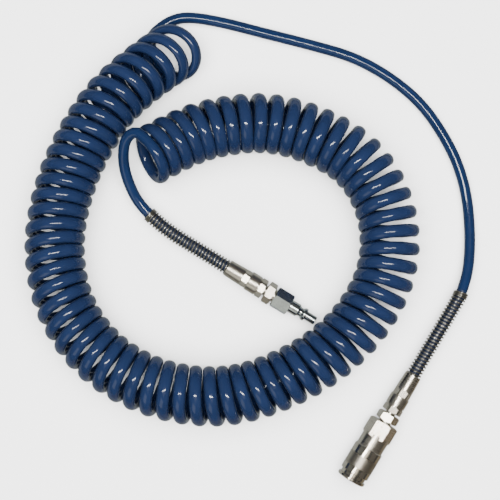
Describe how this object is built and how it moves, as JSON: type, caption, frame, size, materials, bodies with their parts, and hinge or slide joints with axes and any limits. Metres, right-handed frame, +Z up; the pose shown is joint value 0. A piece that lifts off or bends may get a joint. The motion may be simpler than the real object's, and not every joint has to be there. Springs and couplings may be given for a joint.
{
  "type": "coiled air hose",
  "caption": "Coiled plastic air hose lying in a ring, with a sleeve-lock quick coupler on one end, a plug on the other, and wire guards where the hose enters its fittings.",
  "frame": {"origin": "on the ground below the middle of the hose as it lies", "axes": "+Z up from the ground; the coupler points down and left along -Y and -X, the plug down and right"},
  "size_m": [0.4075, 0.4316, 0.055],
  "materials": {
    "hose": "glossy dark blue polyurethane tube",
    "plated_brass": "nickel-plated brass, polished, with warm reflections",
    "bare_brass": "machined brass",
    "plated_steel": "zinc-plated steel, machined",
    "spring_wire": "drawn spring steel",
    "ball_steel": "polished bearing steel",
    "seal": "black nitrile rubber"
  },
  "bodies": {
    "hose": {"coil": "hose", "coupler_tail": "hose", "plug_tail": "hose", "coupler_spring_guard": "spring_wire", "coupler_union_nut": "plated_brass", "coupler_hose_stem": "plated_brass", "plug_spring_guard": "spring_wire", "plug_union_nut": "plated_brass", "plug_hose_stem": "plated_brass"},
    "coupler": {"coupler_swivel_stud": "plated_brass", "coupler_swivel_clip": "spring_wire", "coupler_swivel_oring": "seal", "coupler_rear_body": "plated_brass", "coupler_barrel": "plated_brass", "coupler_body_oring": "seal", "nose_seal": "seal", "sleeve_stop_ring": "spring_wire", "sleeve_spring": "spring_wire", "valve_spring": "spring_wire"},
    "sleeve": {"locking_sleeve": "plated_brass"},
    "valve": {"valve_poppet": "bare_brass", "valve_seal": "seal"},
    "plug": {"plug_swivel_stud": "plated_brass", "plug_swivel_clip": "spring_wire", "plug_swivel_oring": "seal", "plug_nipple": "plated_steel"},
    "ball_1": {"locking_ball_1": "ball_steel"},
    "ball_2": {"locking_ball_2": "ball_steel"},
    "ball_3": {"locking_ball_3": "ball_steel"},
    "ball_4": {"locking_ball_4": "ball_steel"},
    "ball_5": {"locking_ball_5": "ball_steel"},
    "ball_6": {"locking_ball_6": "ball_steel"}
  },
  "joints": [
    {"name": "coupler_swivel", "type": "hinge", "parent": "hose", "child": "coupler", "pos_m": [0.1267, -0.14818, 0.0136], "axis": [-0.5165, -0.8563, 0], "continuous": true},
    {"name": "plug_swivel", "type": "hinge", "parent": "hose", "child": "plug", "pos_m": [0.01177, -0.03767, 0.01039], "axis": [0.8536, -0.521, 0], "continuous": true},
    {"name": "sleeve_slide", "type": "slide", "parent": "coupler", "child": "sleeve", "axis": [0.5165, 0.8563, 0], "range_m": [0, 0.005], "stiffness_N_per_m": 1200, "springref_m": -0.008, "deforming": ["sleeve_spring"]},
    {"name": "valve_slide", "type": "slide", "parent": "coupler", "child": "valve", "axis": [0.5165, 0.8563, 0], "range_m": [0, 0.004], "stiffness_N_per_m": 900, "springref_m": -0.006, "deforming": ["valve_spring"]},
    {"name": "ball_1_lift", "type": "slide", "parent": "coupler", "child": "ball_1", "axis": [0, 0, 1], "range_m": [0, 0.001]},
    {"name": "ball_2_lift", "type": "slide", "parent": "coupler", "child": "ball_2", "axis": [-0.7415, 0.4473, 0.5], "range_m": [0, 0.001]},
    {"name": "ball_3_lift", "type": "slide", "parent": "coupler", "child": "ball_3", "axis": [-0.7415, 0.4473, -0.5], "range_m": [0, 0.001]},
    {"name": "ball_4_lift", "type": "slide", "parent": "coupler", "child": "ball_4", "axis": [0, 0, -1], "range_m": [0, 0.001]},
    {"name": "ball_5_lift", "type": "slide", "parent": "coupler", "child": "ball_5", "axis": [0.7415, -0.4473, -0.5], "range_m": [0, 0.001]},
    {"name": "ball_6_lift", "type": "slide", "parent": "coupler", "child": "ball_6", "axis": [0.7415, -0.4473, 0.5], "range_m": [0, 0.001]}
  ],
  "couplings": [
    {"joint": "ball_1_lift", "follows": "sleeve_slide", "ratio": 0.2},
    {"joint": "ball_2_lift", "follows": "sleeve_slide", "ratio": 0.2},
    {"joint": "ball_3_lift", "follows": "sleeve_slide", "ratio": 0.2},
    {"joint": "ball_4_lift", "follows": "sleeve_slide", "ratio": 0.2},
    {"joint": "ball_5_lift", "follows": "sleeve_slide", "ratio": 0.2},
    {"joint": "ball_6_lift", "follows": "sleeve_slide", "ratio": 0.2}
  ]
}
